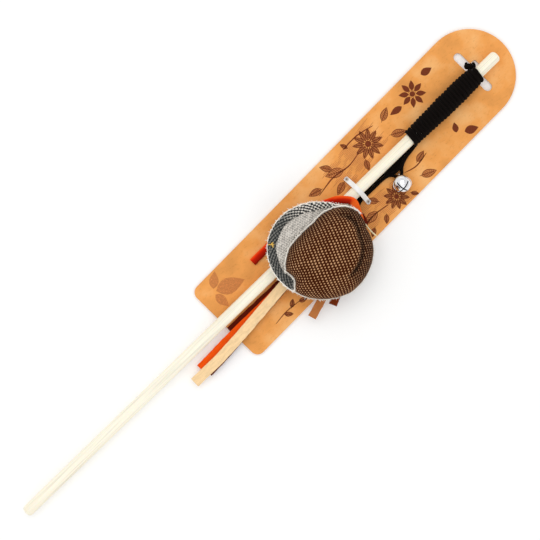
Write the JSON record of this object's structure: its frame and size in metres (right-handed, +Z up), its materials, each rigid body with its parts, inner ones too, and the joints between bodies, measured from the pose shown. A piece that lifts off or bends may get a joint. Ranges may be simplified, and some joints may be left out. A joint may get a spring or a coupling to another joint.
{
  "type": "cat teaser wand",
  "caption": "Cat teaser wand: wood stick, wound black elastic cord, jingle bell, stuffed tweed and denim lure and suede laces, tied to its kraft hanging card.",
  "frame": {"origin": "middle of the footprint of the wand on its card, on the table it lies on", "axes": "+Y along the stick to its tip and the card's hanging slot, +Z up from the table, +X to the right of the stick, where the cord, bell and lure lie"},
  "size_m": [0.0735, 0.4108, 0.034],
  "materials": {
    "wood": "bare sanded birch",
    "kraft": "uncoated kraft board",
    "white_plastic": "moulded, matt",
    "elastic": "braided black elastic",
    "bell_metal": "bright plated sheet steel",
    "ball_steel": "tumbled steel",
    "denim": "grey denim, wrong side",
    "denim_face": "dark grey denim twill",
    "tweed": "coarse brown and beige tweed",
    "filling": "white polyester fibre",
    "yellow_thread": "sewing thread",
    "cream_yarn": "loose yarn",
    "orange_suede": "orange suede",
    "tan_suede": "tan suede",
    "light_brown_suede": "light brown suede",
    "brown_suede": "dark brown suede"
  },
  "bodies": {
    "pack": {"card": "kraft", "upper_tie": "white_plastic", "lower_tie": "white_plastic", "tie_buttons": "white_plastic"},
    "wand": {"stick": "wood", "winding_core": "elastic", "cord_winding": "elastic", "winding_knot": "elastic", "cord_run": "elastic", "lure_knot": "elastic"},
    "bell": {"bell_top": "bell_metal", "bell_bottom": "bell_metal", "bell_eye": "bell_metal"},
    "bell_ball": {"bell_pellet": "ball_steel"},
    "lure": {"denim_cup": "denim", "denim_hem": "denim_face", "tweed_cover": "tweed", "tweed_back": "tweed", "stuffing": "filling", "hem_thread": "yellow_thread", "loose_yarn": "cream_yarn", "lure_loop": "elastic", "folded_orange_lace": "orange_suede", "short_tan_lace": "light_brown_suede", "short_brown_lace": "brown_suede", "brown_lace_fold": "brown_suede"},
    "brown_tail": {"brown_lace": "brown_suede"},
    "orange_tail": {"orange_lace": "orange_suede"},
    "tan_tails": {"tan_lace": "tan_suede", "dark_lace": "brown_suede"}
  },
  "joints": [
    {"name": "wand_slide", "type": "slide", "parent": "pack", "child": "wand", "axis": [0, 1, 0], "range_m": [-0.01, 0.002]},
    {"name": "lure_lift", "type": "hinge", "parent": "wand", "child": "lure", "pos_m": [0.00389, 0.0686, 0.0141], "axis": [-1, 0, 0], "range_deg": [0, 60]},
    {"name": "bell_swing", "type": "hinge", "parent": "wand", "child": "bell", "pos_m": [0.00679, 0.103, 0.0045], "axis": [0.027, -0.9996, 0], "range_deg": [0, 45]},
    {"name": "bell_ball_hop", "type": "slide", "parent": "bell", "child": "bell_ball", "axis": [0, 0, 1], "range_m": [0, 0.006]},
    {"name": "brown_lace_swing", "type": "hinge", "parent": "wand", "child": "brown_tail", "pos_m": [0.00389, 0.0686, 0.0047], "axis": [0, 0, 1], "range_deg": [0, 6]},
    {"name": "orange_lace_swing", "type": "hinge", "parent": "wand", "child": "orange_tail", "pos_m": [0.00389, 0.0686, 0.0061], "axis": [0, 0, 1], "range_deg": [0, 10]},
    {"name": "tan_lace_swing", "type": "hinge", "parent": "wand", "child": "tan_tails", "pos_m": [0.00389, 0.0686, 0.008], "axis": [0, 0, 1], "range_deg": [0, 25]}
  ]
}
